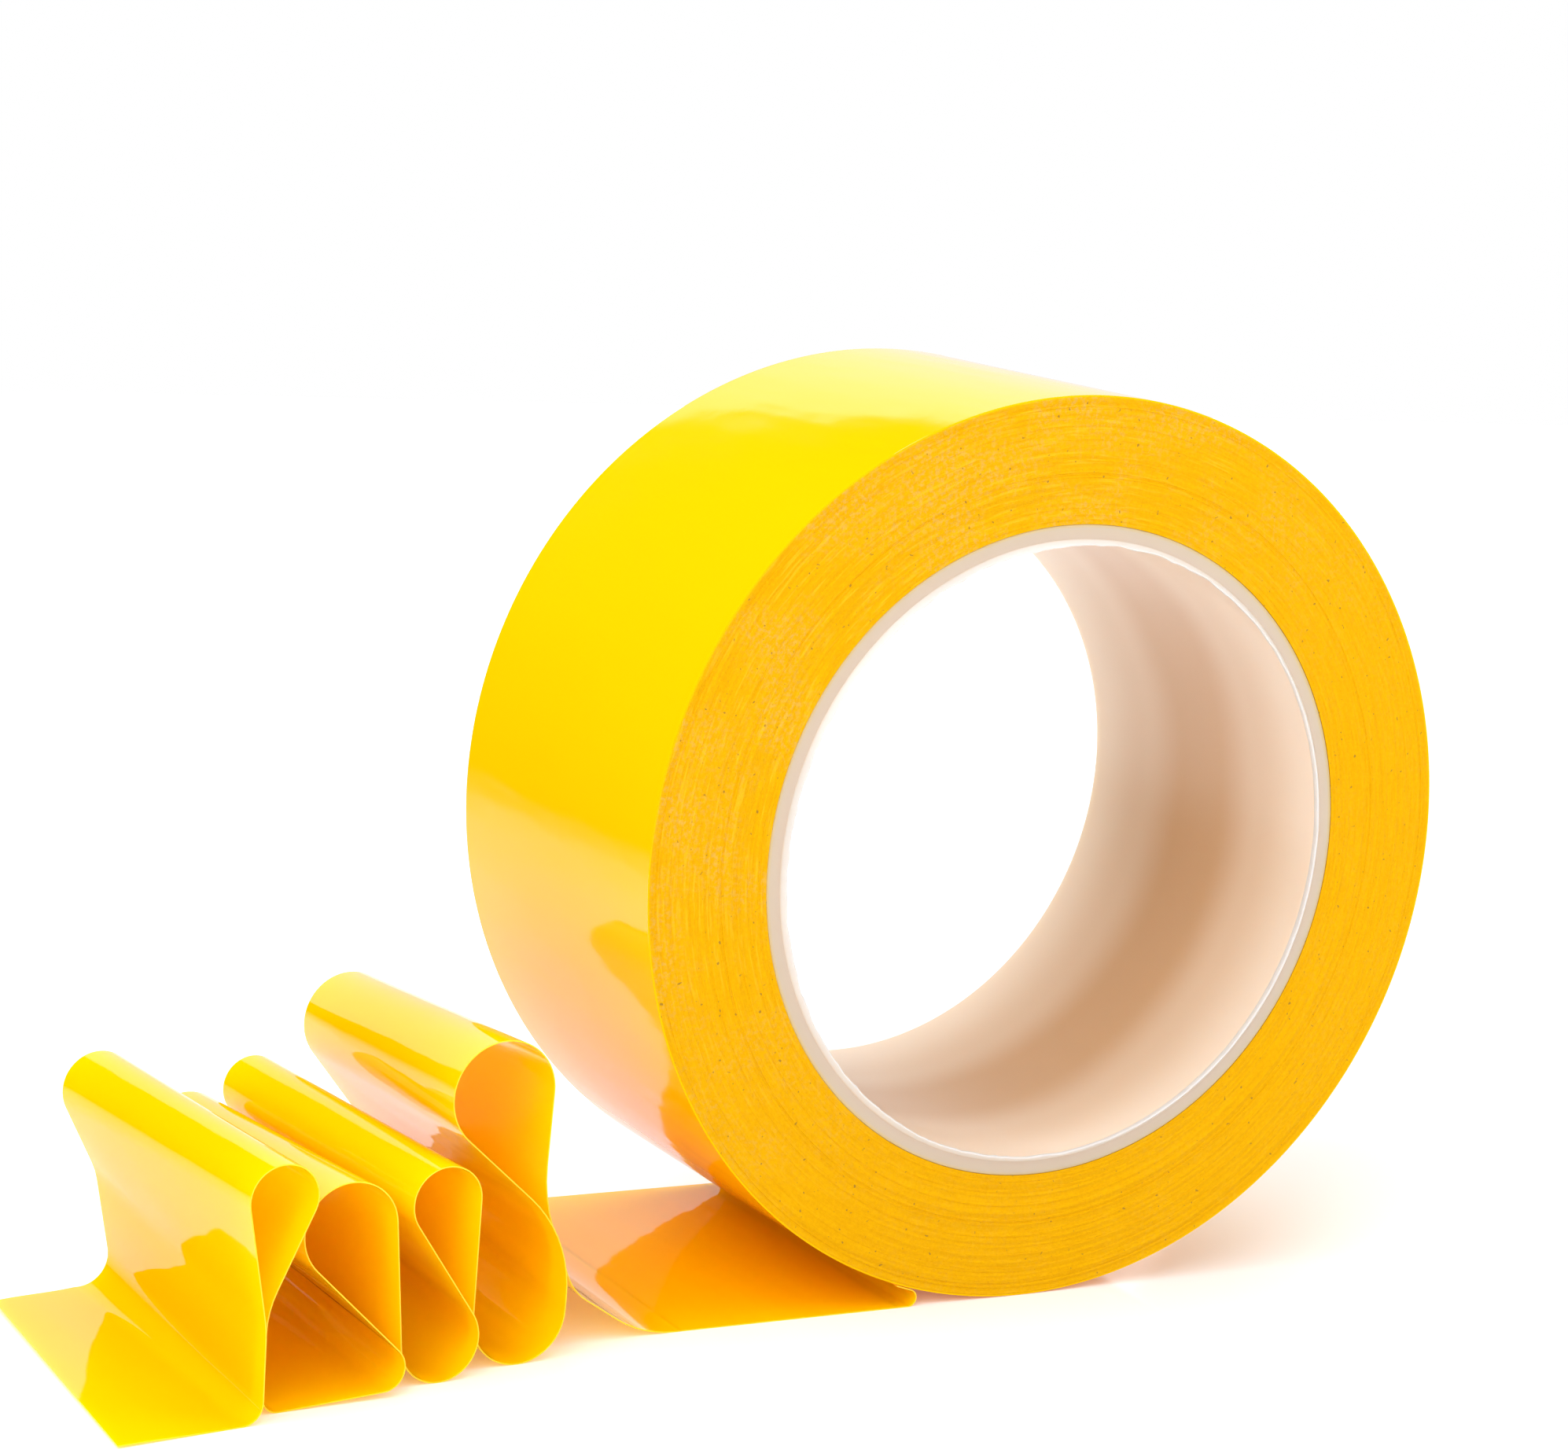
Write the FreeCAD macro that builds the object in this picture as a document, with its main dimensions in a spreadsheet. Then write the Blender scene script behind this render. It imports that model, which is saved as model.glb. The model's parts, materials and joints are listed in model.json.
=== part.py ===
import FreeCAD, Part
import Sketcher
import math
import os

# A roll of glossy film tape standing on its edge. The tape leaves the roll underneath, turns
# over, runs back along the floor, stands up in four pleats and ends in a flat tail.
# Millimetres. The origin is the middle of the core's bore, +Y is the roll's axis, +Z is up,
# and the loose tape runs towards -X.

DIMENSIONS = {
    "roll_diameter": 111.0,
    "tape_width": 50.8,
    "tape_thickness": 0.14,
    "core_bore": 76.2,
    "core_wall": 2.0,
    "core_chamfer": 0.5,
    "peel_height": 2.8,
    "peel_leg": 2.2,
    "peel_clearance": 0.06,
    "fold_end": 17.5,
    "run_end": 47.0,
    "pleats_end": 107.05,
    "pleats_drift": 14.0,
    "tail_gap": 0.2,
    "tail_front": 121.2,
    "tail_back": 118.9,
    "tail_drift": 15.9,
}

# Each bend of the standing tape: distance behind the roll's axis, height of the bend's centre
# above the floor, radius, and +1 where the tape turns anticlockwise seen from the -Y side.
BENDS = {
    "lift": (47.5, 15.07, 15.0, -1),
    "rise_low": (56.2, 11.1, 6.9, -1),
    "rise_high": (35.8, 22.0, 30.0, -1),
    "crest_a": (72.6, 31.0, 6.5, 1),
    "waist_a": (79.3, 8.0, 15.0, -1),
    "trough_a": (70.3, 5.97, 5.9, -1),
    "crest_b": (80.6, 20.3, 4.2, 1),
    "trough_b": (81.1, 4.67, 4.6, -1),
    "crest_c": (92.8, 18.9, 5.9, 1),
    "trough_c_near": (88.9, 3.4, 2.6, -1),
    "trough_c_far": (101.5, 1.97, 1.9, -1),
    "waist_d_near": (91.5, 9.5, 12.0, -1),
    "crest_d": (102.6, 24.4, 4.0, 1),
    "waist_d_far": (116.3, 9.5, 12.0, -1),
    "foot_d": (106.75, 2.47, 2.4, -1),
}

# The last bend of each pleat. The cut to the next pleat is half way up the side between them.
PLEAT_ENDS = {
    "pleat_a": "trough_a",
    "pleat_b": "trough_b",
    "pleat_c": "trough_c_far",
    "pleat_d": "foot_d",
}

doc = FreeCAD.newDocument("tape_roll")
sheet = doc.addObject("Spreadsheet::Sheet", "Dims")


def fill_sheet():
    """Give every driving dimension a row and an alias."""
    rows = dict(DIMENSIONS)
    for name, (setback, height, radius, turn) in BENDS.items():
        rows[name + "_setback"] = setback
        rows[name + "_height"] = height
        rows[name + "_radius"] = radius
    for number, (alias, value) in enumerate(rows.items(), start=1):
        sheet.set("A%d" % number, alias)
        sheet.set("B%d" % number, "%g" % value)
        sheet.setAlias("B%d" % number, alias)
    doc.recompute()


def dim(alias):
    """A driving dimension in millimetres."""
    return float(sheet.get(alias))


def floor_strip():
    """The tape between the peel fold and the pleats, flat on the floor."""
    strip = doc.addObject("Part::Box", "floor_run")
    strip.Label = "floor_run"
    strip.setExpression("Length", "Dims.run_end - Dims.fold_end")
    strip.setExpression("Width", "Dims.tape_width")
    strip.setExpression("Height", "Dims.tape_thickness")
    strip.setExpression("Placement.Base.x", "-Dims.run_end")
    strip.setExpression("Placement.Base.y", "-Dims.tape_width / 2")
    strip.setExpression("Placement.Base.z", "-Dims.roll_diameter / 2")


def flat_tail():
    """The flat end of the tape, a sketched outline padded by the tape's thickness."""
    body = doc.addObject("PartDesign::Body", "tail")
    body.Label = "tail"
    body.setExpression("Placement.Base.z", "-Dims.roll_diameter / 2")
    plane = next(face for face in body.Origin.OriginFeatures if face.Role == "XY_Plane")
    outline = body.newObject("Sketcher::SketchObject", "tail_outline")
    outline.AttachmentSupport = (plane, [""])
    outline.MapMode = "FlatFace"
    near = "Dims.pleats_end + Dims.tail_gap"
    corners = [
        (-107, -39, near, "Dims.tape_width / 2 + Dims.pleats_drift"),
        (-121, -41, "Dims.tail_front", "Dims.tape_width / 2 + Dims.tail_drift"),
        (-119, 9, "Dims.tail_back", "Dims.tape_width / 2 - Dims.tail_drift"),
        (-107, 11, near, "Dims.tape_width / 2 - Dims.pleats_drift"),
    ]
    points = [FreeCAD.Vector(x, y, 0) for x, y, along, across in corners]
    for here, there in zip(points, points[1:] + points[:1]):
        outline.addGeometry(Part.LineSegment(here, there), False)
    for index in range(4):
        following = (index + 1) % 4
        outline.addConstraint(Sketcher.Constraint("Coincident", index, 2, following, 1))
    for index, (x, y, along, across) in enumerate(corners):
        bind(outline, "DistanceX", index, "along_%d" % index, x, along)
        bind(outline, "DistanceY", index, "across_%d" % index, y, across)
    pad = body.newObject("PartDesign::Pad", "tail_film")
    pad.Profile = outline
    pad.setExpression("Length", "Dims.tape_thickness")


def bind(sketch, kind, line, name, value, rule):
    """Hold the start of a sketch line at a distance from the origin, by a rule."""
    if value < 0:
        ends = (line, 1, -1, 1)
    else:
        ends = (-1, 1, line, 1)
    number = sketch.addConstraint(Sketcher.Constraint(kind, *ends, abs(value)))
    sketch.renameConstraint(number, name)
    sketch.setExpression("Constraints." + name, rule)


def tube(label, outer, inner):
    """A PartDesign tube about the Y axis, its two radii given as rules on the sheet."""
    body = doc.addObject("PartDesign::Body", label)
    body.Label = label
    body.setExpression("Placement.Base.y", "Dims.tape_width / 2")
    body.Placement.Rotation = FreeCAD.Rotation(FreeCAD.Vector(1, 0, 0), 90)
    solid = body.newObject("PartDesign::AdditiveCylinder", label + "_outside")
    solid.setExpression("Radius", outer)
    solid.setExpression("Height", "Dims.tape_width")
    hole = body.newObject("PartDesign::SubtractiveCylinder", label + "_inside")
    hole.setExpression("Radius", inner)
    hole.setExpression("Height", "Dims.tape_width")
    doc.recompute()
    return body, hole


def chamfer_bore(body, hole, radius):
    """Break both edges of a tube's bore."""
    names = []
    for number, edge in enumerate(hole.Shape.Edges, start=1):
        round_edge = isinstance(edge.Curve, Part.Circle)
        if round_edge and abs(edge.Curve.Radius - radius) < 0.001:
            names.append("Edge%d" % number)
    chamfer = body.newObject("PartDesign::Chamfer", body.Label + "_chamfer")
    chamfer.Base = (hole, names)
    chamfer.setExpression("Size", "Dims.core_chamfer")
    doc.recompute()


class Bend:
    """An arc of the tape's path in the XZ plane; a radius of zero is a plain point."""

    def __init__(self, x, z, radius=0.0, turn=1):
        self.x = x
        self.z = z
        self.radius = radius
        self.turn = turn

    def at(self, heading, offset=0.0):
        """The point where the path has this heading, moved to the left by offset."""
        out = self.turn * self.radius - offset
        return self.x + out * math.sin(heading), self.z - out * math.cos(heading)


def heading_between(first, second):
    """Direction of the straight stretch that leaves one bend and joins the next."""
    dx = second.x - first.x
    dz = second.z - first.z
    rise = second.turn * second.radius - first.turn * first.radius
    return math.atan2(dz, dx) - math.asin(rise / math.hypot(dx, dz))


def path_through(bends):
    """Straight and curved stretches of the path, each with the length before it."""
    headings = [heading_between(a, b) for a, b in zip(bends, bends[1:])]
    stretches = []
    travelled = 0.0
    for index, heading in enumerate(headings):
        first = bends[index]
        second = bends[index + 1]
        start = first.at(heading)
        end = second.at(heading)
        length = math.dist(start, end)
        stretches.append(("line", (start, end, heading), travelled, length))
        travelled += length
        if index + 1 < len(headings):
            sweep = headings[index + 1] - heading
            sweep = second.turn * ((second.turn * sweep) % (2 * math.pi))
            length = abs(sweep) * second.radius
            stretches.append(("arc", (second, heading, sweep), travelled, length))
            travelled += length
    return stretches


def stretch_points(stretch, offset):
    """Points along one stretch, offset to its left, each with the length travelled."""
    kind, shape, travelled, length = stretch
    if kind == "line":
        start, end, heading = shape
        side = (-math.sin(heading) * offset, math.cos(heading) * offset)
        return [
            (start[0] + side[0], start[1] + side[1], travelled),
            (end[0] + side[0], end[1] + side[1], travelled + length),
        ]
    bend, heading, sweep = shape
    steps = max(4, math.ceil(abs(sweep) / math.radians(15)))
    points = []
    for step in range(steps + 1):
        share = step / steps
        x, z = bend.at(heading + sweep * share, offset)
        points.append((x, z, travelled + length * share))
    return points


def smooth_edge(points, stretch, drift):
    """A straight edge for a straight stretch, or a smooth one that keeps its headings."""
    kind, shape, travelled, length = stretch
    if kind == "line":
        return Part.makeLine(points[0], points[-1])
    bend, heading, sweep = shape
    first, last = [
        FreeCAD.Vector(math.cos(turn), -drift, math.sin(turn))
        for turn in (heading, heading + sweep)
    ]
    curve = Part.BSplineCurve()
    curve.interpolate(Points=points, InitialTangent=first, FinalTangent=last)
    return curve.toShape()


def tape_solid(stretches, drift):
    """A thin solid of tape along some stretches, drifting sideways as it goes."""
    half = dim("tape_thickness") / 2
    faces = []
    ends = []
    for stretch in stretches:
        corners = {}
        for side in (-1, 1):
            for offset in (-half, half):
                line = [
                    FreeCAD.Vector(x, side * dim("tape_width") / 2 - drift * travelled, z)
                    for x, z, travelled in stretch_points(stretch, offset)
                ]
                corners[side, offset] = line
        edges = {
            key: smooth_edge(line, stretch, drift) for key, line in corners.items()
        }
        ring = [(-1, -half), (1, -half), (1, half), (-1, half)]
        for here, there in zip(ring, ring[1:] + ring[:1]):
            faces.append(Part.makeRuledSurface(edges[here], edges[there], 1))
        ends.append([corners[key][0] for key in ring])
        last = [corners[key][-1] for key in ring]
    for loop in (ends[0], last):
        faces.append(Part.Face(Part.makePolygon(loop + loop[:1])))
    skin = Part.Compound(faces)
    skin.sewShape(0.001)
    solid = Part.makeSolid(skin.Shells[0])
    if solid.Volume < 0:
        solid.reverse()
    return solid


def tape_node(label, stretches, drift):
    """Add one length of tape to the document, set on the floor under the roll."""
    node = doc.addObject("Part::Feature", label)
    node.Label = label
    node.Shape = tape_solid(stretches, drift)
    node.setExpression("Placement.Base.z", "-Dims.roll_diameter / 2")


def path_length(stretches):
    """Length of tape from the start of a path to its end."""
    kind, shape, travelled, length = stretches[-1]
    return travelled + length


def split_at(stretches, bend):
    """Cut a path in two, half way along the straight stretch after a bend."""
    for index, (kind, shape, travelled, length) in enumerate(stretches):
        if kind == "arc" and shape[0] is bend:
            break
    kind, (start, end, heading), travelled, length = stretches[index + 1]
    middle = ((start[0] + end[0]) / 2, (start[1] + end[1]) / 2)
    before = (kind, (start, middle, heading), travelled, length / 2)
    after = (kind, (middle, end, heading), travelled + length / 2, length / 2)
    return stretches[: index + 1] + [before], [after] + stretches[index + 2 :]


fill_sheet()
roll_radius = dim("roll_diameter") / 2
lying = dim("tape_thickness") / 2

# The wound tape is on the core, with no gap.
core, core_hole = tube(
    "core", "Dims.core_bore / 2 + Dims.core_wall", "Dims.core_bore / 2"
)
chamfer_bore(core, core_hole, dim("core_bore") / 2)
tube("wound_tape", "Dims.roll_diameter / 2", "Dims.core_bore / 2 + Dims.core_wall")

# The tape leaves the roll along a tangent, turns over and meets the floor.
leave_radius = roll_radius + dim("peel_clearance") + lying
leave_angle = math.acos((roll_radius - dim("peel_height")) / leave_radius)
leg = dim("peel_leg")
drop = roll_radius - lying - leave_radius * math.cos(leave_angle) - leg * math.sin(leave_angle)
turn_radius = drop / (1 + math.cos(leave_angle))
leave = Bend(-leave_radius * math.sin(leave_angle), dim("peel_height"))
turnover = Bend(
    leave.x + leg * math.cos(leave_angle) - turn_radius * math.sin(leave_angle),
    lying + turn_radius,
    turn_radius,
    -1,
)
fold_end = Bend(-dim("fold_end"), lying)
run_end = Bend(-dim("run_end"), lying)
tape_node("peel_fold", path_through([leave, turnover, fold_end]), 0.0)
floor_strip()

# The pleats share one path and each takes its own length of it.
bends = {
    name: Bend(
        -dim(name + "_setback"), dim(name + "_height"), dim(name + "_radius"), turn
    )
    for name, (setback, height, radius, turn) in BENDS.items()
}
pleats_end = Bend(-dim("pleats_end"), lying)
rest = path_through([run_end, *bends.values(), pleats_end])
drift = dim("pleats_drift") / path_length(rest)
for label, last_bend in PLEAT_ENDS.items():
    if last_bend == "foot_d":
        tape_node(label, rest, drift)
    else:
        length, rest = split_at(rest, bends[last_bend])
        tape_node(label, length, drift)

# The tail lies flat beyond the last pleat, with a gap for its bend.
flat_tail()

doc.recompute()
os.makedirs("parts", exist_ok=True)
nodes = [
    thing
    for thing in doc.Objects
    if thing.TypeId in ("PartDesign::Body", "Part::Box", "Part::Feature")
]
for thing in doc.Objects:
    if "Invalid" in thing.State or "Error" in thing.State:
        raise RuntimeError("%s did not rebuild" % thing.Label)
for node in nodes:
    if node.Shape.isNull() or not node.Shape.isValid():
        raise RuntimeError("%s has no valid shape" % node.Label)
for node in nodes:
    node.Shape.exportStep("parts/%s.step" % node.Label)
    box = node.Shape.BoundBox
    print(node.Label, round(node.Shape.Volume, 2), box)
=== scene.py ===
import json
import math
import random

import bpy
from mathutils import Matrix, Vector, noise


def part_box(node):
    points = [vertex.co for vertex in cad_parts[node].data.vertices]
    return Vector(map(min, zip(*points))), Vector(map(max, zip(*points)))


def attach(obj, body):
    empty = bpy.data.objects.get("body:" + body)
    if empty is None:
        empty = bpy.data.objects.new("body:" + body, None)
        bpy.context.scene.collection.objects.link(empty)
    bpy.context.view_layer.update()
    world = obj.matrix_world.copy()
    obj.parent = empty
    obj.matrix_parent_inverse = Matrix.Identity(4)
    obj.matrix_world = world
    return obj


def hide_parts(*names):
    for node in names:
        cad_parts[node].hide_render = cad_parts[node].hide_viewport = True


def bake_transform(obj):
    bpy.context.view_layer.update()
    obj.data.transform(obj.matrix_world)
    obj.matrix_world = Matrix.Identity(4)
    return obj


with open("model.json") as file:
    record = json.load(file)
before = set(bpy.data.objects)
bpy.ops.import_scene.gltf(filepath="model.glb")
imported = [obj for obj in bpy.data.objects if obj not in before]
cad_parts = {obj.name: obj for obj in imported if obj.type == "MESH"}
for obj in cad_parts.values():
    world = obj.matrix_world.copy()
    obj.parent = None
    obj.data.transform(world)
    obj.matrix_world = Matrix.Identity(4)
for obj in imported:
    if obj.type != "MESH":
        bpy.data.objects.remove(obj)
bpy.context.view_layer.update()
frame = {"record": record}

scene = bpy.context.scene

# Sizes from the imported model, in metres. The roll's axis is the Y axis.
MM = 0.001
roll_lo, roll_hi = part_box("wound_tape")
_, core_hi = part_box("core")
run_lo, run_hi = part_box("floor_run")
tail_lo, tail_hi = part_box("tail")
mounts = {mount["name"]: mount for mount in frame["record"]["mounts"]}
ROLL_R = roll_hi.z
CORE_R = core_hi.z
BORE_R = mounts["core_bore"]["dims"]["r_mm"] * MM
HALF_W = roll_hi.y
FLOOR = roll_lo.z
FILM = run_hi.z - run_lo.z

# A lathed ring has this many steps round it.
RING_STEPS = 288

ROOM_LIGHT = 0.73
# Each lamp: name, place, the point it faces, width and height, power, shape.
LAMPS = [
    ("key", (-0.85, -0.4, 0.9), (0, 0, 0), (1.5, 1.2), 19, "RECTANGLE"),
    ("right", (0.9, -0.45, 0.7), (0, 0, 0), (0.7, 0.7), 5, "RECTANGLE"),
    ("overhead", (0.2, 0.25, 1.2), (0, 0, 0), (1.2, 1.0), 11, "RECTANGLE"),
    ("front", (-0.2, -1.4, 0.2), (0, 0, 0), (1.4, 1.0), 8.5, "RECTANGLE"),
    ("backdrop", (0.2, 1.0, 0.18), (0.2, 0, 0.18), (1.22, 0.78), 2.7, "ELLIPSE"),
]
CAMERA_PLACE = Vector((-0.2538, -0.4059, 0.0954))
CAMERA_YAW, CAMERA_PITCH, CAMERA_ROLL = (math.radians(angle) for angle in (29.4, 10.24, 4.41))
CAMERA_LENS = 88.9


# ---------------------------------------------------------------- the tape's path

# Each bend of the standing tape, in millimetres: distance to the left of the roll's axis, height
# above the floor, radius, and +1 where the tape turns anticlockwise seen from the front. Then the
# same bend at the back edge, as changes to the first three: the folds are not quite parallel.
BENDS = [
    (47.5, 15.07, 15.0, -1, 0.0, 0.0, 0.0),
    (56.2, 11.1, 6.9, -1, -0.6, 0.0, 0.0),
    (46.5, 22.0, 20.0, -1, -2.0, -2.0, 0.0),
    (72.8, 31.0, 6.4, 1, -2.1, -4.6, -0.4),
    (79.3, 8.0, 15.0, -1, 0.7, -1.5, -1.5),
    (70.3, 5.97, 5.9, -1, 0.6, 0.0, 0.0),
    (80.6, 20.3, 4.2, 1, 4.0, -0.3, -0.4),
    (81.2, 4.87, 4.8, -1, 1.4, 0.0, 0.0),
    (93.2, 19.0, 5.6, 1, 1.0, -3.4, -0.3),
    (89.1, 3.4, 2.6, -1, 1.0, 0.0, 0.0),
    (101.5, 1.97, 1.9, -1, -1.2, 0.0, 0.0),
    (91.5, 9.5, 12.0, -1, 1.0, 2.1, -2.0),
    (102.6, 24.4, 4.0, 1, 4.2, -0.9, 0.4),
    (116.3, 9.5, 12.0, -1, -1.6, 1.9, -4.0),
    (106.75, 2.47, 2.4, -1, 2.2, 1.3, 1.3),
]

# Along X: where the tape lifts off the floor, and where the tail starts at its front and back
# edges. The drifts are how far each edge has moved to the front by there.
RUN_END = run_lo.x
TAIL_START = -107.05 * MM
TAIL_START_BACK = -109.4 * MM
FRONT_DRIFT = 14.0 * MM
BACK_DRIFT = 17.0 * MM

# How far the tail's back corner lies inside the corner of the tail's box, and how far up its
# cut end curls.
TAIL_CORNER_X = 1.2 * MM
TAIL_CORNER_Y = 6.4 * MM
TAIL_CURL = 0.25 * MM

# The turn under the roll: where the tape leaves the roll, how far off the roll it lies, and the
# straight stretch before it turns over.
LEAVE_HEIGHT = 2.8 * MM
LEAVE_GAP = 0.06 * MM
LEAVE_LEG = 2.2 * MM


class Bend:
    """An arc of the tape's path in the XZ plane; a radius of zero is a plain point."""

    def __init__(self, x, z, radius=0.0, turn=1):
        self.x = x
        self.z = z
        self.radius = radius
        self.turn = turn

    def at(self, heading):
        """The point where the path has this heading."""
        out = self.turn * self.radius
        return Vector((self.x + out * math.sin(heading), self.z - out * math.cos(heading)))


def heading_between(first, second):
    """Direction of the straight stretch that leaves one bend and joins the next."""
    dx = second.x - first.x
    dz = second.z - first.z
    rise = second.turn * second.radius - first.turn * first.radius
    return math.atan2(dz, dx) - math.asin(rise / math.hypot(dx, dz))


def sample_path(bends, counts=None, line_step=0.8 * MM, arc_step=math.radians(6)):
    """Points (x, z) and left-hand normals along the path, and how many each stretch has.

    Two edges of one strip are sampled with the same counts, so that their points pair up.
    """
    headings = [heading_between(a, b) for a, b in zip(bends, bends[1:])]
    points = []
    used = []
    for index, heading in enumerate(headings):
        start = bends[index].at(heading)
        end = bends[index + 1].at(heading)
        steps = max(1, round((end - start).length / line_step))
        if counts:
            steps = counts[len(used)]
        used.append(steps)
        side = Vector((-math.sin(heading), math.cos(heading)))
        for step in range(steps):
            points.append((start.lerp(end, step / steps), side))
        if index + 1 == len(headings):
            points.append((end, side))
            break
        bend = bends[index + 1]
        sweep = headings[index + 1] - heading
        sweep = bend.turn * ((bend.turn * sweep) % (2 * math.pi))
        steps = max(2, round(abs(sweep) / arc_step))
        if counts:
            steps = counts[len(used)]
        used.append(steps)
        for step in range(steps):
            turn = heading + sweep * step / steps
            points.append((bend.at(turn), Vector((-math.sin(turn), math.cos(turn)))))
    return points, used


def travelled(points):
    """Length of path up to each point."""
    total = [0.0]
    for (before, _), (after, _) in zip(points, points[1:]):
        total.append(total[-1] + (after - before).length)
    return total


def smooth_share(share):
    """0 to 1 with no kink at either end."""
    return share * share * (3 - 2 * share)


# ---------------------------------------------------------------- mesh helpers


def make_object(name, verts, faces, materials, indices, smooth_angle):
    """A mesh object, shaded smooth below an angle, with a material index for each face."""
    mesh = bpy.data.meshes.new(name)
    mesh.from_pydata([tuple(v) for v in verts], [], faces)
    for material in materials:
        mesh.materials.append(material)
    mesh.polygons.foreach_set("material_index", indices)
    mesh.validate()
    mesh.shade_smooth()
    mesh.set_sharp_from_angle(angle=math.radians(smooth_angle))
    obj = bpy.data.objects.new(name, mesh)
    scene.collection.objects.link(obj)
    return obj


def lathe(name, profile, materials, slots, wobble):
    """A closed ring about the Y axis from a closed (radius, y) profile.

    wobble(index, angle) gives small changes to the radius and y of a profile point.
    """
    verts = []
    for segment in range(RING_STEPS):
        angle = 2 * math.pi * segment / RING_STEPS
        for index, (radius, y) in enumerate(profile):
            d_radius, d_y = wobble(index, angle)
            radius += d_radius
            y += d_y
            verts.append((radius * math.cos(angle), y, radius * math.sin(angle)))
    count = len(profile)
    faces = []
    indices = []
    for segment in range(RING_STEPS):
        after = (segment + 1) % RING_STEPS
        for index in range(count):
            following = (index + 1) % count
            faces.append(
                (
                    segment * count + index,
                    segment * count + following,
                    after * count + following,
                    after * count + index,
                )
            )
            indices.append(slots[index])
    return make_object(name, verts, faces, materials, indices, smooth_angle=40)


def strip_mesh(name, rows, materials):
    """A closed strip, FILM thick, through rows of (front point, back point, their two normals).

    The points lie on the middle of the film. Faces on the left of the path take material 0, those
    on the right material 1 and the cut edges material 2.
    """
    across = 14
    shares = [column / across for column in range(across + 1)]
    half = FILM / 2
    verts = []
    for front, back, normal_front, normal_back in rows:
        for side in (1, -1):
            for share in shares:
                point = front.lerp(back, share)
                normal = normal_front.lerp(normal_back, share).normalized()
                verts.append(point + normal * half * side)
    columns = across + 1
    stride = 2 * columns
    faces = []
    indices = []
    for row in range(len(rows) - 1):
        base = row * stride
        for column in range(across):
            upper = base + column
            faces.append((upper, upper + stride, upper + stride + 1, upper + 1))
            indices.append(0)
            lower = base + columns + column
            faces.append((lower, lower + 1, lower + stride + 1, lower + stride))
            indices.append(1)
        front_top = base
        front_low = base + columns
        faces.append((front_top, front_low, front_low + stride, front_top + stride))
        back_top = base + across
        back_low = base + columns + across
        faces.append((back_top, back_top + stride, back_low + stride, back_low))
        indices.extend((2, 2))
    last = (len(rows) - 1) * stride
    for column in range(across):
        faces.append((column, column + 1, columns + column + 1, columns + column))
        top = last + column
        low = last + columns + column
        faces.append((top, low, low + 1, top + 1))
        indices.extend((2, 2))
    return make_object(name, verts, faces, materials, indices, smooth_angle=50)


# ---------------------------------------------------------------- materials


class Nodes:
    """A material's node tree, with short calls for the nodes that come up again and again."""

    def __init__(self, name):
        self.material = bpy.data.materials.new(name)
        self.material.use_nodes = True
        self.tree = self.material.node_tree
        self.tree.nodes.clear()
        self.output = self.tree.nodes.new("ShaderNodeOutputMaterial")

    def add(self, kind, **settings):
        """A new node. A setting goes to the input of that name, or else to the node itself."""
        node = self.tree.nodes.new(kind)
        for key, value in settings.items():
            if key in node.inputs:
                node.inputs[key].default_value = value
            else:
                setattr(node, key, value)
        return node

    def link(self, source, target):
        self.tree.links.new(source, target)

    def feed(self, value, target):
        """Give an input a constant, or the output of another node."""
        if isinstance(value, bpy.types.NodeSocket):
            self.link(value, target)
        else:
            target.default_value = value

    def place(self):
        """Position on the piece."""
        return self.add("ShaderNodeTexCoord").outputs["Object"]

    def axes(self, vector):
        """The X, Y and Z outputs of a vector."""
        split = self.add("ShaderNodeSeparateXYZ")
        self.link(vector, split.inputs["Vector"])
        return split.outputs

    def length(self, vector):
        node = self.add("ShaderNodeVectorMath", operation="LENGTH")
        self.link(vector, node.inputs[0])
        return node.outputs["Value"]

    def off_axis(self, axes):
        """Distance out from the roll's axis."""
        flat = self.add("ShaderNodeCombineXYZ")
        self.link(axes["X"], flat.inputs["X"])
        self.link(axes["Z"], flat.inputs["Z"])
        return self.length(flat.outputs["Vector"])

    def maths(self, operation, *values):
        node = self.add("ShaderNodeMath", operation=operation)
        for value, target in zip(values, node.inputs):
            self.feed(value, target)
        return node.outputs["Value"]

    def remap(self, value, low, high, to_low=0.0, to_high=1.0, curve="LINEAR"):
        """Turn low to high into to_low to to_high, held at both ends."""
        node = self.add("ShaderNodeMapRange", interpolation_type=curve)
        self.link(value, node.inputs["Value"])
        self.feed(low, node.inputs["From Min"])
        self.feed(high, node.inputs["From Max"])
        self.feed(to_low, node.inputs["To Min"])
        self.feed(to_high, node.inputs["To Max"])
        return node.outputs["Result"]

    def noise(self, vector, scale, detail, roughness=0.5):
        field = self.add("ShaderNodeTexNoise", Scale=scale, Detail=detail, Roughness=roughness)
        self.link(vector, field.inputs["Vector"])
        return field.outputs["Fac"]

    def bump(self, height, strength, distance, under=None):
        """The surface's direction, tilted by a height. It can lie over another bump."""
        node = self.add("ShaderNodeBump", Strength=strength, Distance=distance)
        self.link(height, node.inputs["Height"])
        if under:
            self.link(under, node.inputs["Normal"])
        return node.outputs["Normal"]

    def blend_colours(self, share, first, second):
        mix = self.add("ShaderNodeMix", data_type="RGBA")
        self.link(share, mix.inputs["Factor"])
        self.feed(first, mix.inputs["A"])
        self.feed(second, mix.inputs["B"])
        return mix.outputs["Result"]

    def blend_shaders(self, share, first, second):
        mix = self.add("ShaderNodeMixShader")
        self.feed(share, mix.inputs["Fac"])
        self.link(first, mix.inputs[1])
        self.link(second, mix.inputs[2])
        return mix.outputs["Shader"]

    def surface(self, shader):
        self.link(shader, self.output.inputs["Surface"])


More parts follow.
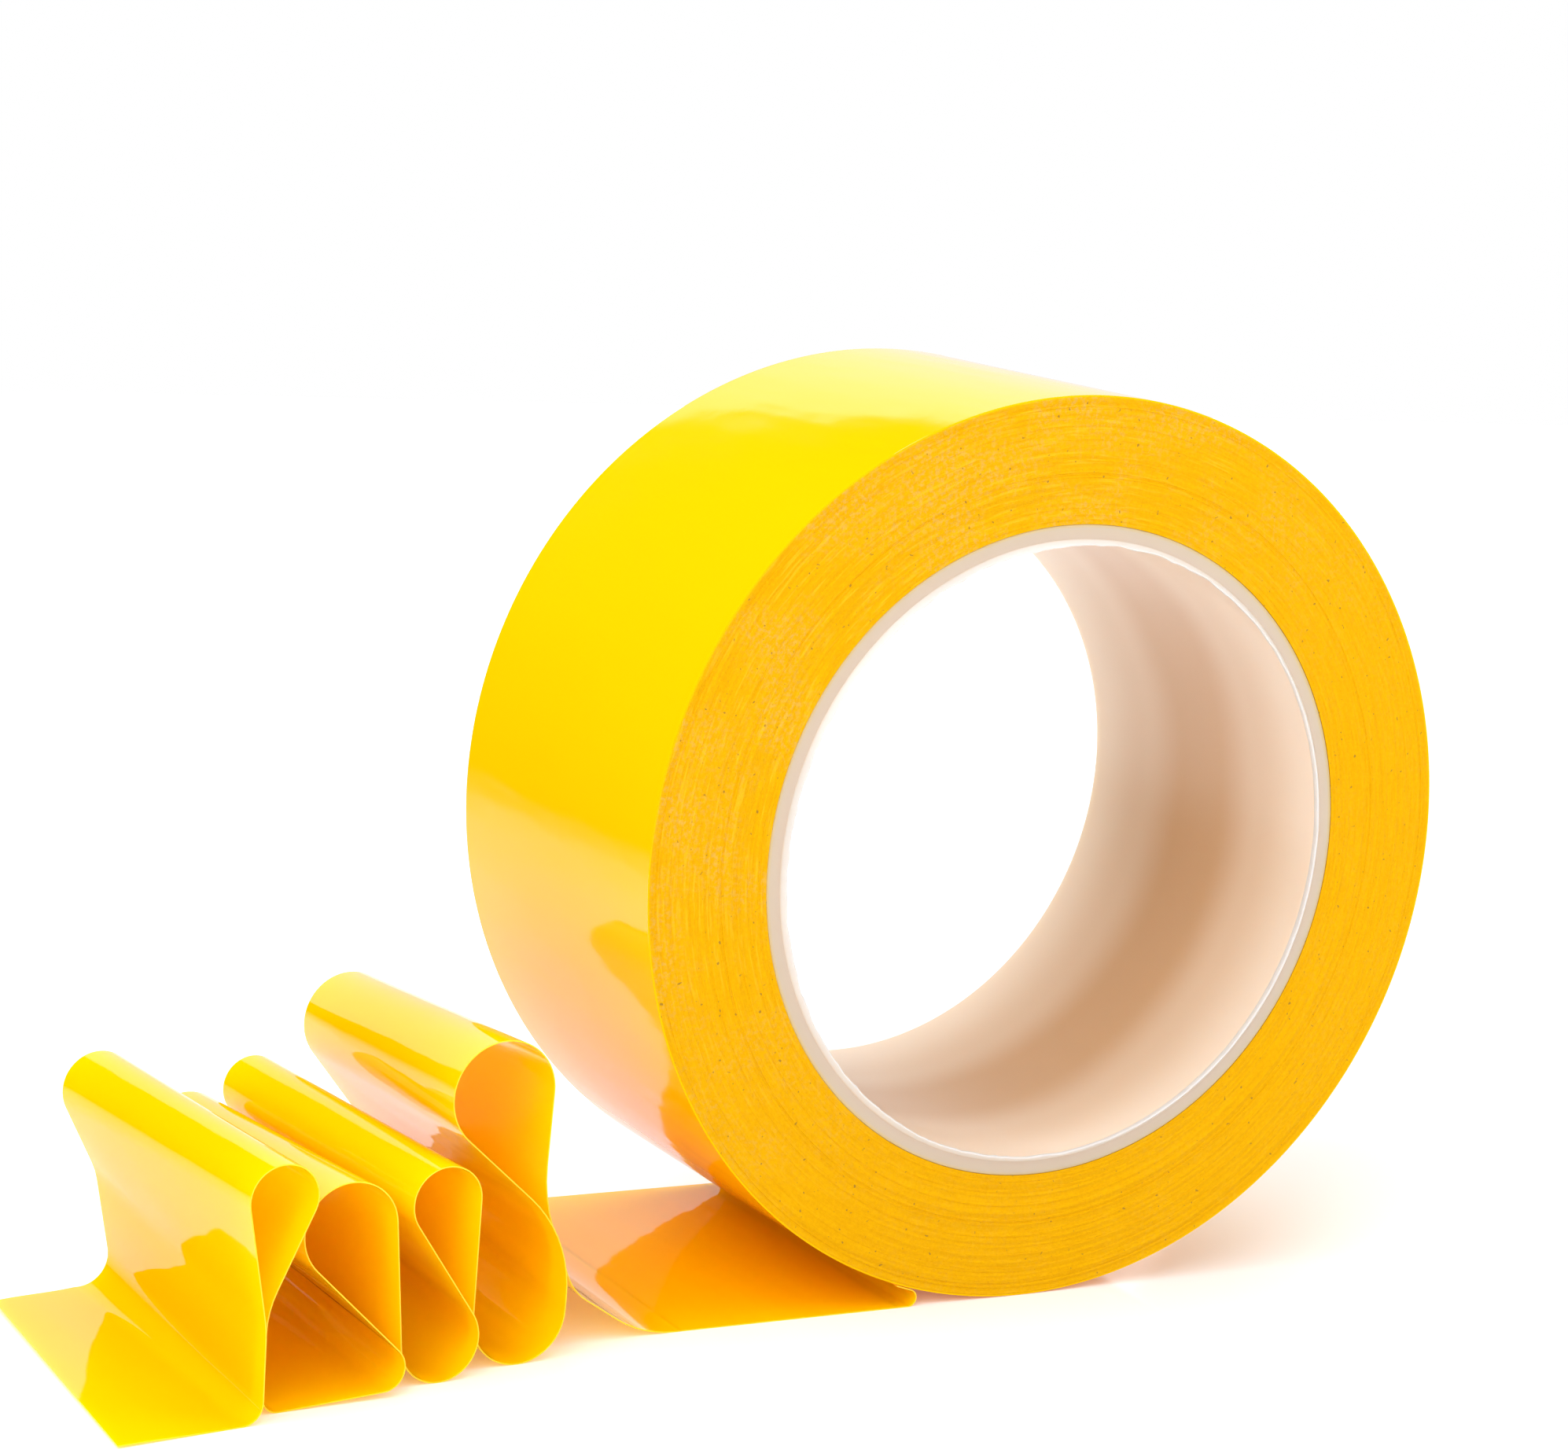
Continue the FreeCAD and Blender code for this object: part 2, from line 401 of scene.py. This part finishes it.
def film_face(name, colour, deep_colour, roughness, show_through):
    """One face of the glossy film: faint rolling streaks, fine scuffs and a soft unevenness.

    show_through is the share of light that passes through this face and leaves on the far side.
    """
    n = Nodes(name)
    place = n.place()
    stretch = n.add("ShaderNodeMapping")
    stretch.inputs["Scale"].default_value = (1.0, 0.25, 1.0)
    n.link(place, stretch.inputs["Vector"])
    streaked = stretch.outputs["Vector"]
    clouds = n.noise(streaked, scale=35.0, detail=3.0, roughness=0.55)
    tint = n.blend_colours(clouds, (*colour, 1), (*deep_colour, 1))
    scuffs = n.noise(place, scale=900.0, detail=4.0, roughness=0.6)
    shine = n.remap(scuffs, 0.0, 1.0, roughness * 0.8, roughness * 1.3)
    ripple = n.noise(streaked, scale=60.0, detail=2.0)
    relief = n.bump(ripple, strength=0.25, distance=0.0004)
    crinkle = n.noise(streaked, scale=240.0, detail=1.0, roughness=0.4)
    relief = n.bump(crinkle, strength=0.5, distance=0.0002, under=relief)
    relief = n.bump(scuffs, strength=0.06, distance=0.00005, under=relief)

    body = n.add("ShaderNodeBsdfPrincipled", Roughness=0.6)
    body.inputs["Specular IOR Level"].default_value = 0.0
    n.link(tint, body.inputs["Base Color"])
    n.link(relief, body.inputs["Normal"])
    glow = n.add("ShaderNodeBsdfTranslucent")
    glow.inputs["Color"].default_value = (1.0, 0.93, 0.0, 1)
    sheet = n.blend_shaders(show_through, body.outputs["BSDF"], glow.outputs["BSDF"])

    # The gloss is only on the outside, so that light is not held inside the film.
    gloss = n.add("ShaderNodeBsdfGlossy")
    n.link(shine, gloss.inputs["Roughness"])
    n.link(relief, gloss.inputs["Normal"])
    edge_on = n.add("ShaderNodeFresnel", IOR=1.46)
    n.link(relief, edge_on.inputs["Normal"])
    inside = n.add("ShaderNodeNewGeometry").outputs["Backfacing"]
    outside = n.maths("SUBTRACT", 1.0, inside)
    mirror = n.maths("MULTIPLY", edge_on.outputs["Fac"], outside)
    n.surface(n.blend_shaders(mirror, sheet, gloss.outputs["BSDF"]))
    return n.material


def wound_side():
    """The side of the wound tape: fine turns and grain, with dusty patches and a few dark specks."""
    n = Nodes("wound_side")
    place = n.place()
    axes = n.axes(place)
    radius = n.off_axis(axes)
    turn = n.maths("ARCTAN2", axes["Z"], axes["X"])
    # Noise over these coordinates changes fast from turn to turn, and slowly along each turn.
    polar = n.add("ShaderNodeCombineXYZ")
    n.link(radius, polar.inputs["X"])
    for wave, axis in (("COSINE", "Y"), ("SINE", "Z")):
        n.link(n.maths("MULTIPLY", n.maths(wave, turn), 0.004), polar.inputs[axis])
    along_turns = polar.outputs["Vector"]

    def spots(vector, scale, detail, low, high):
        """A noise cut off below low and full above high."""
        return n.remap(n.noise(vector, scale, detail, 0.65), low, high, curve="SMOOTHSTEP")

    def both(first, second):
        return n.maths("MULTIPLY", first, second)

    def laid_over(under, colour, share):
        return n.blend_colours(share, under, (*colour, 1))

    turns = spots(along_turns, 2600.0, 2.0, 0.25, 0.75)
    grain = spots(place, 2300.0, 3.0, 0.3, 0.7)
    tone = n.maths("MULTIPLY_ADD", grain, 0.5, both(turns, 0.5))
    colour = n.blend_colours(tone, (0.60, 0.285, 0.0, 1), (0.665, 0.345, 0.0, 1))

    # Residue sits mostly on one side of the roll, in patches.
    lean = n.maths("SUBTRACT", axes["Z"], axes["X"])
    side = n.remap(lean, -0.03, 0.06, to_low=0.15, curve="SMOOTHSTEP")
    lines = both(spots(along_turns, 2400.0, 1.0, 0.56, 0.70), side)
    colour = laid_over(colour, (0.79, 0.44, 0.02), both(lines, 0.35))
    dust = both(spots(place, 1500.0, 4.0, 0.45, 0.65), spots(place, 80.0, 3.0, 0.38, 0.65))
    dust = both(dust, side)
    colour = laid_over(colour, (0.55, 0.33, 0.07), both(dust, 0.7))
    specks = both(spots(place, 1300.0, 1.0, 0.70, 0.76), 0.8)
    colour = laid_over(colour, (0.26, 0.14, 0.02), specks)
    rim = n.remap(radius, ROLL_R - 0.3 * MM, ROLL_R - 0.2 * MM)
    colour = laid_over(colour, (0.77, 0.43, 0.0), rim)

    ridges = n.bump(turns, strength=0.4, distance=0.00008)
    relief = n.bump(grain, strength=0.35, distance=0.0001, under=ridges)
    body = n.add("ShaderNodeBsdfPrincipled", Roughness=0.5)
    body.inputs["Specular IOR Level"].default_value = 0.03
    n.link(colour, body.inputs["Base Color"])
    n.link(relief, body.inputs["Normal"])
    n.surface(body.outputs["BSDF"])
    return n.material


def core_plastic(name, places, colours, along):
    """Milky moulded plastic, coloured by distance along the axis or out from it; these colours hold
    painted light and shade.

    The tape shows through behind it, and light gets in at the ends.
    """
    n = Nodes(name)
    place = n.place()
    axes = n.axes(place)
    if along == "axis":
        measure = n.maths("ABSOLUTE", axes["Y"])
    else:
        measure = n.off_axis(axes)
    span = places[-1] - places[0]
    sway = 0.2 * span
    cloud = n.noise(place, scale=22.0, detail=2.0)
    swayed = n.maths("MULTIPLY_ADD", cloud, sway, measure)
    share = n.remap(swayed, places[0] + sway / 2, places[-1] + sway / 2)
    # This ramp paints light and shade: darker where little light reaches, paler where light gets in,
    # and whiter as a painted highlight at the bore's edge.
    ramp = n.add("ShaderNodeValToRGB")
    ramp.color_ramp.interpolation = "EASE"
    stops = ramp.color_ramp.elements
    while len(stops) < len(places):
        stops.new(0.5)
    for stop, where, colour in zip(stops, places, colours):
        stop.position = (where - places[0]) / span
        stop.color = (*colour, 1)
    n.link(share, ramp.inputs["Fac"])
    grain = n.noise(place, scale=700.0, detail=3.0)
    body = n.add("ShaderNodeBsdfPrincipled", Roughness=0.3, IOR=1.5)
    body.inputs["Subsurface Weight"].default_value = 0.5
    body.inputs["Subsurface Radius"].default_value = (0.004, 0.003, 0.0022)
    body.inputs["Subsurface Scale"].default_value = 1.0
    n.link(ramp.outputs["Color"], body.inputs["Base Color"])
    n.link(n.bump(grain, strength=0.06, distance=0.00005), body.inputs["Normal"])
    n.surface(body.outputs["BSDF"])
    return n.material


outer_turn = film_face(
    "film_outer_turn",
    colour=(0.99, 0.50, 0.0),
    deep_colour=(0.98, 0.47, 0.0),
    roughness=0.07,
    show_through=0.0,
)
backing = film_face(
    "film_backing",
    colour=(1.0, 0.615, 0.0),
    deep_colour=(0.99, 0.585, 0.0),
    roughness=0.05,
    show_through=0.5,
)
sticky = film_face(
    "film_sticky_side",
    colour=(1.0, 0.72, 0.0),
    deep_colour=(0.99, 0.69, 0.0),
    roughness=0.1,
    show_through=0.5,
)
cut_edge = film_face(
    "film_cut_edge",
    colour=(1.0, 0.70, 0.03),
    deep_colour=(1.0, 0.64, 0.02),
    roughness=0.4,
    show_through=0.5,
)
side_face = wound_side()
# Painted shade and light: the bore is darker and browner towards the middle of its length, as
# painted shade with the tape showing through, and paler towards both open ends, as painted light.
bore_painted_shade = core_plastic(
    "core_bore_painted_shade",
    (0.004, 0.5 * HALF_W, HALF_W),
    ((0.58, 0.355, 0.19), (0.69, 0.50, 0.345), (0.80, 0.64, 0.50)),
    "axis",
)
# Painted highlight: the rim is whiter and more neutral at the bore's edge and on the lip. It turns
# yellower next to the tape, where the tape shows through.
rim_painted_highlight = core_plastic(
    "core_rim_painted_highlight",
    (BORE_R - 0.4 * MM, BORE_R, BORE_R + 0.3 * MM, CORE_R - 0.6 * MM, CORE_R),
    (
        (0.52, 0.50, 0.49),
        (0.52, 0.49, 0.46),
        (0.49, 0.40, 0.32),
        (0.50, 0.40, 0.30),
        (0.59, 0.41, 0.16),
    ),
    "radius",
)


# ---------------------------------------------------------------- the roll


def build_roll():
    """The wound tape: a glossy outer turn and two sides of slightly uneven turns."""
    rand = random.Random(7)
    turns = 55
    inner = CORE_R
    outer = ROLL_R - 0.02 * MM
    side_inset = 0.06 * MM
    pitch = (outer - inner) / turns
    heights = [rand.uniform(-0.05, 0.035) * MM for _ in range(turns)]
    profile = []
    slots = []

    def side_points(sign, order):
        """Each turn is a flat ring that stands out a little more or less than the next."""
        for number in order:
            near = inner + pitch * (number + 0.08)
            far = inner + pitch * (number + 0.92)
            pair = (near, far) if sign < 0 else (far, near)
            for radius in pair:
                profile.append((radius, sign * (HALF_W - side_inset + heights[number])))
                slots.append(1)

    side_points(-1, range(turns))
    rim = [0.1 * MM, 0.2 * MM, 0.5 * MM]
    steps = 12
    across = [-HALF_W + inset for inset in rim]
    across += [-HALF_W + 2 * HALF_W * step / steps for step in range(1, steps)]
    across += [HALF_W - inset for inset in reversed(rim)]
    for y in across:
        profile.append((outer, y))
        slots.append(0)
    slots[-1] = 1
    side_points(1, reversed(range(turns)))

    def wobble(index, angle):
        radius, y = profile[index]
        east = math.cos(angle)
        north = math.sin(angle)
        d_y = 0.0
        d_radius = 0.0
        if slots[index] != 0:
            d_y = 0.03 * MM * noise.noise(Vector((east * 1.3, north * 1.3, radius * 900.0)))
        if radius > outer - 0.01 * MM:
            swell = noise.noise(Vector((east * 2.2, north * 2.2, y * 25)))
            d_radius = -0.03 * MM + 0.03 * MM * swell
        return d_radius, d_y

    return lathe("wound_tape_turns", profile, [outer_turn, side_face], slots, wobble)


def build_core():
    """The core: a moulded tube. Cutting left a thin ragged lip round its front edge."""
    face = HALF_W - 0.1 * MM
    edge = 0.08 * MM
    lip_in = 0.5 * MM
    lip_out = 0.6 * MM
    longest_step = 6 * MM
    front = [
        (CORE_R, -face + edge),
        (CORE_R - edge, -face),
        (BORE_R + 0.25 * MM, -face),
        (BORE_R + 0.05 * MM, -face - 0.35 * lip_out),
        (BORE_R - 0.6 * lip_in, -face - lip_out),
        (BORE_R - 0.9 * lip_in, -face - 0.9 * lip_out),
        (BORE_R - lip_in, -face - 0.55 * lip_out),
        (BORE_R - 0.8 * lip_in, -face),
        (BORE_R - 0.25 * lip_in, -face + lip_out),
        (BORE_R, -face + 2 * lip_out),
    ]
    back = [
        (BORE_R, face - 2 * edge),
        (BORE_R + 2 * edge, face),
        (CORE_R - edge, face),
        (CORE_R, face - edge),
    ]
    outline = front + back
    profile = []
    for (r0, y0), (r1, y1) in zip(outline, outline[1:] + outline[:1]):
        parts = max(1, int(math.hypot(r1 - r0, y1 - y0) / longest_step))
        for part in range(parts):
            share = part / parts
            profile.append((r0 + (r1 - r0) * share, y0 + (y1 - y0) * share))
    slots = []
    for radius, y in profile:
        on_rim = radius > BORE_R + 0.01 * MM or y < -face + lip_out
        slots.append(1 if on_rim else 0)

    def ragged(index, angle):
        radius, _ = profile[index]
        share = max(0.0, BORE_R - radius) / lip_in
        place = Vector((math.cos(angle) * 14, math.sin(angle) * 14, 0.0))
        tear = noise.noise(place) + 0.5 * noise.noise(place * 3.1)
        return 0.22 * MM * tear * share, 0.18 * MM * tear * share

    return lathe("core_moulding", profile, [bore_painted_shade, rim_painted_highlight], slots, ragged)


roll_tape = build_roll()
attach(roll_tape, "roll")
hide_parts("wound_tape")
core_piece = build_core()
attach(core_piece, "roll")
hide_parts("core")


# ---------------------------------------------------------------- the loose tape


def point3(flat, y):
    return Vector((flat.x, y, FLOOR + flat.y))


def path_bend(setback, height, radius, turn):
    return Bend(-setback * MM, height * MM, radius * MM, turn)


def strip_rows(front_points, back_points, y_front, y_back):
    """Rows for strip_mesh, with y given as a function of the share of length travelled."""
    length_front = travelled(front_points)
    length_back = travelled(back_points)
    rows = []
    for index, ((front, side_front), (back, side_back)) in enumerate(
        zip(front_points, back_points)
    ):
        share_front = length_front[index] / length_front[-1]
        share_back = length_back[index] / length_back[-1]
        rows.append(
            (
                point3(front, y_front(share_front)),
                point3(back, y_back(share_back)),
                Vector((side_front.x, 0, side_front.y)),
                Vector((side_back.x, 0, side_back.y)),
            )
        )
    return rows


def build_pleats():
    """The four standing pleats and the flat tail, as one strip from lift-off to the cut end."""
    lying = FILM / 2
    front = [Bend(RUN_END, lying)]
    back = [Bend(RUN_END, lying)]
    for setback, height, radius, turn, d_back, d_up, d_radius in BENDS:
        front.append(path_bend(setback, height, radius, turn))
        back.append(path_bend(setback + d_back, height + d_up, radius + d_radius, turn))
    front.append(Bend(TAIL_START, lying))
    back.append(Bend(TAIL_START_BACK, lying))
    front_points, counts = sample_path(front)
    back_points, _ = sample_path(back, counts)
    rows = strip_rows(
        front_points,
        back_points,
        lambda share: -HALF_W - FRONT_DRIFT * share,
        lambda share: HALF_W - BACK_DRIFT * share,
    )
    front_end = rows[-1][0]
    back_end = rows[-1][1]
    corner_front = Vector((tail_lo.x, tail_lo.y, front_end.z))
    corner_back = Vector((tail_lo.x + TAIL_CORNER_X, tail_hi.y - TAIL_CORNER_Y, front_end.z))
    steps = 14
    for step in range(1, steps + 1):
        share = step / steps
        curl = Vector((0, 0, TAIL_CURL * smooth_share(share)))
        rows.append(
            (
                front_end.lerp(corner_front, share) + curl,
                back_end.lerp(corner_back, share) + curl * 2,
                Vector((0, 0, -1)),
                Vector((0, 0, -1)),
            )
        )
    return strip_mesh("pleated_strip", rows, [sticky, backing, cut_edge])


pleats = build_pleats()
# The bend runs outward and down, so the leaning top of the last pleat stays with the laid tape.
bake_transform(pleats)
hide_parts("pleat_a", "pleat_b", "pleat_c", "pleat_d", "tail")


def build_floor_run():
    """The flat tape on the floor between the pleats and the peel fold."""
    rows = []
    steps = 40
    z = FLOOR + FILM / 2
    for step in range(steps + 1):
        x = run_hi.x + (run_lo.x - run_hi.x) * step / steps
        down = Vector((0, 0, -1))
        rows.append((Vector((x, -HALF_W, z)), Vector((x, HALF_W, z)), down, down))
    return strip_mesh("floor_strip", rows, [sticky, backing, cut_edge])


floor_run = build_floor_run()
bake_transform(floor_run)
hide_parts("floor_run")


def build_peel_fold():
    """The tight turn where the tape leaves the roll and lies back on the floor."""
    lying = FILM / 2
    leave_r = ROLL_R + LEAVE_GAP + lying
    angle = math.acos((ROLL_R - LEAVE_HEIGHT) / leave_r)
    drop = ROLL_R - lying - leave_r * math.cos(angle) - LEAVE_LEG * math.sin(angle)
    radius = drop / (1 + math.cos(angle))
    leave = Bend(-leave_r * math.sin(angle), LEAVE_HEIGHT)
    turnover_x = leave.x + LEAVE_LEG * math.cos(angle) - radius * math.sin(angle)
    turnover = Bend(turnover_x, lying + radius, radius, -1)
    points, _ = sample_path([leave, turnover, Bend(run_hi.x, lying)], line_step=0.3 * MM)
    rows = strip_rows(points, points, lambda share: -HALF_W, lambda share: HALF_W)
    return strip_mesh("peel_turn", rows, [sticky, backing, cut_edge])


peel_turn = build_peel_fold()
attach(peel_turn, "peel")
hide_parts("peel_fold")


# ---------------------------------------------------------------- floor, lights and camera


def build_floor():
    """A glossy white table top that fades out at the left and at the back left.

    It glows more and more with distance, so that it meets the white room without an edge.
    """
    left, right = -0.45, 1.2
    front, back = -1.5, 0.95
    mesh = bpy.data.meshes.new("floor")
    corners = [(left, front), (right, front), (right, back), (left, back)]
    mesh.from_pydata([(x, y, FLOOR) for x, y in corners], [], [range(len(corners))])
    n = Nodes("table_top")
    place = n.place()
    axes = n.axes(place)
    grain = n.noise(place, scale=300.0, detail=2.0)
    body = n.add("ShaderNodeBsdfPrincipled", Roughness=0.06)
    body.inputs["Base Color"].default_value = (0.85, 0.85, 0.85, 1)
    body.inputs["Emission Color"].default_value = (1, 1, 1, 1)
    n.link(n.bump(grain, strength=0.03, distance=0.0001), body.inputs["Normal"])
    n.link(n.remap(n.length(place), 0.15, 1.0, 0.07, 1.0), body.inputs["Emission Strength"])
    to_back_left = n.maths("MULTIPLY_ADD", axes["X"], -1.2, axes["Y"])
    solid_back = n.remap(to_back_left, 0.2, 0.75, 1.0, 0.0, "SMOOTHSTEP")
    gone = n.remap(axes["Y"], 0.1, 0.18, -0.42, -0.21)
    solid_left = n.remap(axes["X"], gone, -0.13, curve="SMOOTHSTEP")
    n.link(n.maths("MULTIPLY", solid_back, solid_left), body.inputs["Alpha"])
    n.surface(body.outputs["BSDF"])
    mesh.materials.append(n.material)
    floor = bpy.data.objects.new("floor", mesh)
    scene.collection.objects.link(floor)


def build_lamp(name, place, target, size, power, shape):
    """A flat lamp that faces its target."""
    light = bpy.data.lights.new(name, "AREA")
    light.shape = shape
    light.size, light.size_y = size
    light.energy = power
    obj = bpy.data.objects.new(name, light)
    obj.location = place
    obj.rotation_mode = "QUATERNION"
    obj.rotation_quaternion = (Vector(target) - Vector(place)).to_track_quat("-Z", "Y")
    scene.collection.objects.link(obj)


def build_world():
    """A white room to the camera, soft light all round, and dark where the film reflects it."""
    world = bpy.data.worlds.new("studio")
    scene.world = world
    world.use_nodes = True
    tree = world.node_tree
    tree.nodes.clear()
    path = tree.nodes.new("ShaderNodeLightPath")
    output = tree.nodes.new("ShaderNodeOutputWorld")
    room = tree.nodes.new("ShaderNodeBackground")
    room.inputs["Strength"].default_value = ROOM_LIGHT
    for ray, strength in (("Is Glossy Ray", 0.0), ("Is Camera Ray", 1.0)):
        seen = tree.nodes.new("ShaderNodeBackground")
        seen.inputs["Color"].default_value = (1, 1, 1, 1)
        seen.inputs["Strength"].default_value = strength
        mix = tree.nodes.new("ShaderNodeMixShader")
        tree.links.new(path.outputs[ray], mix.inputs["Fac"])
        tree.links.new(room.outputs[0], mix.inputs[1])
        tree.links.new(seen.outputs["Background"], mix.inputs[2])
        room = mix
    tree.links.new(room.outputs[0], output.inputs["Surface"])


def build_camera():
    """A long lens from the front left, a little above the roll, with its right side tilted up."""
    ahead = Vector((math.sin(CAMERA_YAW), math.cos(CAMERA_YAW), 0))
    level = Vector((math.cos(CAMERA_YAW), -math.sin(CAMERA_YAW), 0))
    forward = ahead * math.cos(CAMERA_PITCH) - Vector((0, 0, math.sin(CAMERA_PITCH)))
    above = level.cross(forward)
    right = level * math.cos(CAMERA_ROLL) + above * math.sin(CAMERA_ROLL)
    up = above * math.cos(CAMERA_ROLL) - level * math.sin(CAMERA_ROLL)
    data = bpy.data.cameras.new("camera")
    data.sensor_width = 36
    data.lens = CAMERA_LENS
    camera = bpy.data.objects.new("camera", data)
    turn = Matrix((right, up, -forward)).transposed().to_4x4()
    camera.matrix_world = Matrix.Translation(CAMERA_PLACE) @ turn
    data.clip_start = 0.01
    data.clip_end = 20
    scene.collection.objects.link(camera)
    scene.camera = camera


build_floor()
build_world()
for lamp in LAMPS:
    build_lamp(*lamp)
build_camera()
scene.view_settings.view_transform = "Standard"
scene.view_settings.look = "None"
scene.cycles.max_bounces = 20
scene.cycles.diffuse_bounces = 14
scene.cycles.transmission_bounces = 8
